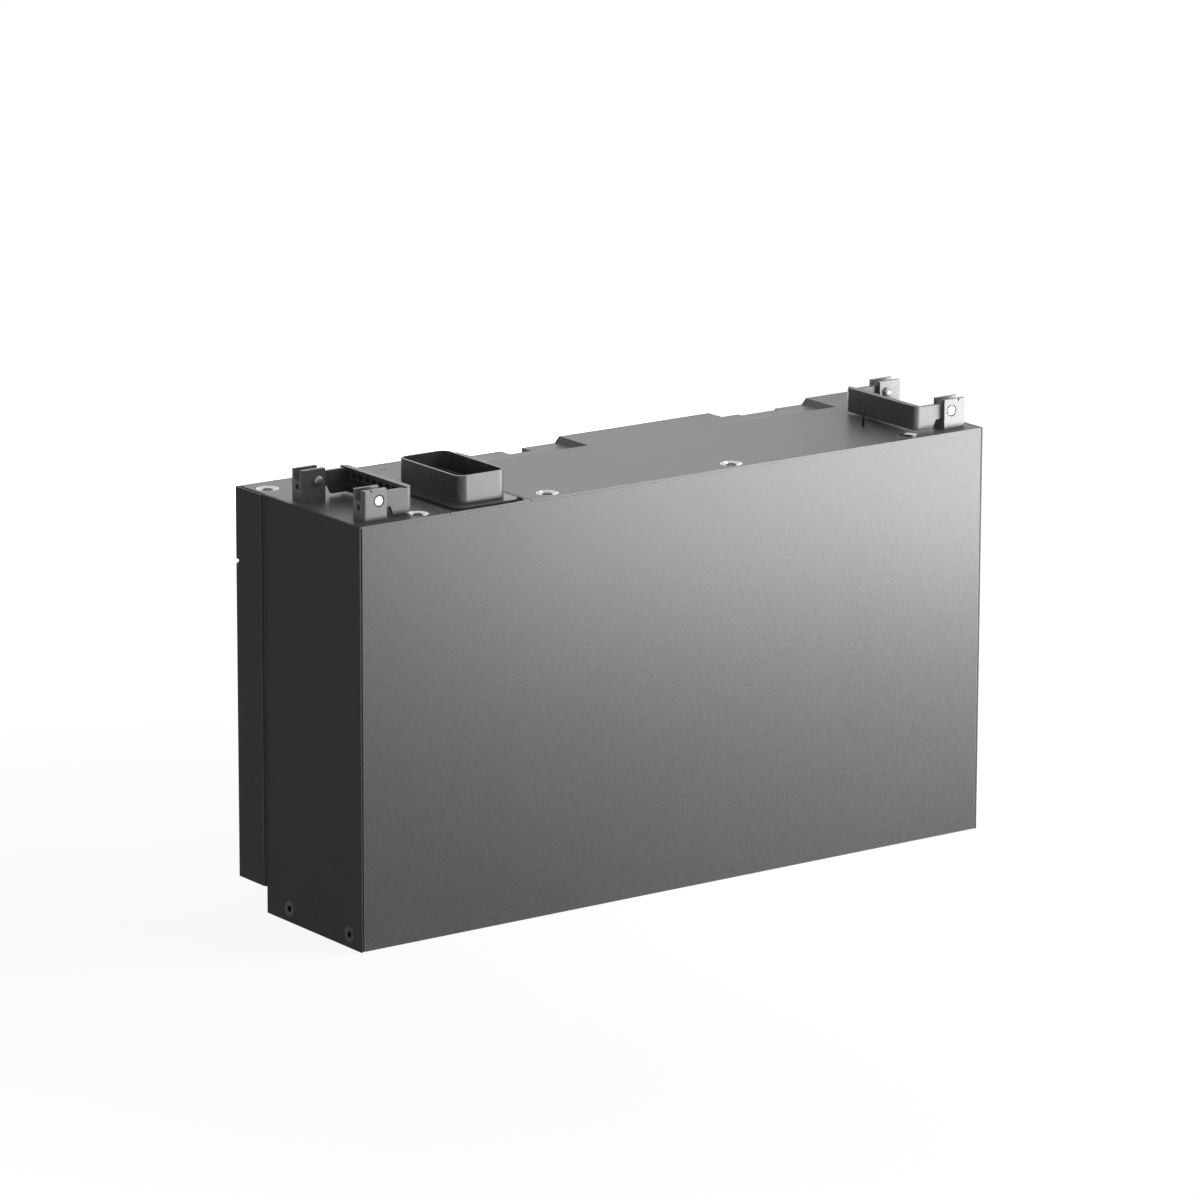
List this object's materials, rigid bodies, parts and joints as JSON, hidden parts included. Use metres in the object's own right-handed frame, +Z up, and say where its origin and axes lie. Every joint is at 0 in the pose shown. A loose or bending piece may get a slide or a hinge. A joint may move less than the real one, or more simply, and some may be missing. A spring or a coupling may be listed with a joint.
{
  "type": "home battery module",
  "caption": "Flat upright battery module for stacking: grey sheet-metal casing with a plug socket, slotted corner posts and swing-up carrying handles on top.",
  "frame": {"origin": "centre of the footprint's bounding box, on the floor", "axes": "+Z up, -Y out of the front panel, +X to the right seen from the front"},
  "size_m": [0.684, 0.191, 0.4055],
  "materials": {
    "case_paint": "satin powder coat, dark grey",
    "panel_paint": "fine-grained powder coat, dark grey",
    "cover_paint": "fine-grained powder coat, dark grey",
    "pan_paint": "satin powder coat, near black",
    "post_paint": "cast, satin dark grey",
    "handle_plastic": "moulded, satin near black",
    "collar_metal": "cast, satin dark grey",
    "black_plastic": "moulded, matte black",
    "rubber": "matte black",
    "bright_steel": "polished",
    "black_steel": "blackened",
    "zinc_steel": "zinc plated",
    "brass": "bare",
    "copper": "bare copper",
    "terminal_metal": "mill finish",
    "cell_wrap": "blue film",
    "white_plastic": "moulded",
    "sense_film": "amber film",
    "board_green": "coated board",
    "capacitor_sleeve": "sleeved",
    "lead_orange": "insulated lead",
    "lead_grey": "insulated lead",
    "red_paint": "gloss red"
  },
  "bodies": {
    "module": {"housing_shell": "case_paint", "front_panel": "panel_paint", "rear_cover": "case_paint", "top_cover": "cover_paint", "bottom_pan": "pan_paint", "connector_plate": "cover_paint", "connector_base": "black_plastic", "connector_collar": "collar_metal", "connector_seal": "rubber", "contact_shroud": "black_plastic", "power_contacts": "brass", "signal_pins": "brass", "post_front_left": "post_paint", "post_front_right": "post_paint", "post_rear_left": "post_paint", "post_rear_right": "post_paint", "post_nuts": "zinc_steel", "post_plate_left": "zinc_steel", "post_plate_right": "zinc_steel", "front_pins": "bright_steel", "rear_pins": "bright_steel", "pivot_sleeves": "zinc_steel", "screw_cups": "bright_steel", "top_screws": "black_steel", "screw_cores": "brass", "side_screws": "black_steel", "earth_blade": "black_steel", "plug_body": "black_plastic", "plug_seal": "rubber", "plug_contacts": "brass", "pressure_vent": "black_plastic", "cell_tray": "zinc_steel", "cells_lower": "cell_wrap", "cells_upper": "cell_wrap", "cell_terminals": "terminal_metal", "cell_spacers": "white_plastic", "end_plates": "terminal_metal", "tie_straps": "zinc_steel", "tier_plate": "zinc_steel", "busbars": "copper", "sense_strips": "sense_film", "cell_lid": "white_plastic", "bms_board": "board_green", "bms_parts": "black_plastic", "bay_plate": "zinc_steel", "heat_sink": "terminal_metal", "board_spacers": "brass", "converter_board": "board_green", "coils": "copper", "capacitors": "capacitor_sleeve", "contactor": "black_plastic", "main_fuse": "white_plastic", "current_shunt": "copper", "power_leads": "lead_orange", "signal_harness": "lead_grey", "extinguisher": "red_paint"},
    "handle_left": {"handle_left": "handle_plastic"},
    "handle_right": {"handle_right": "handle_plastic"}
  },
  "joints": [
    {"name": "handle_left_hinge", "type": "hinge", "parent": "module", "child": "handle_left", "pos_m": [-0.312, -0.0288, 0.3952], "axis": [0, -1, 0], "range_deg": [0, 90]},
    {"name": "handle_right_hinge", "type": "hinge", "parent": "module", "child": "handle_right", "pos_m": [0.312, -0.0288, 0.3952], "axis": [0, 1, 0], "range_deg": [0, 90]}
  ]
}
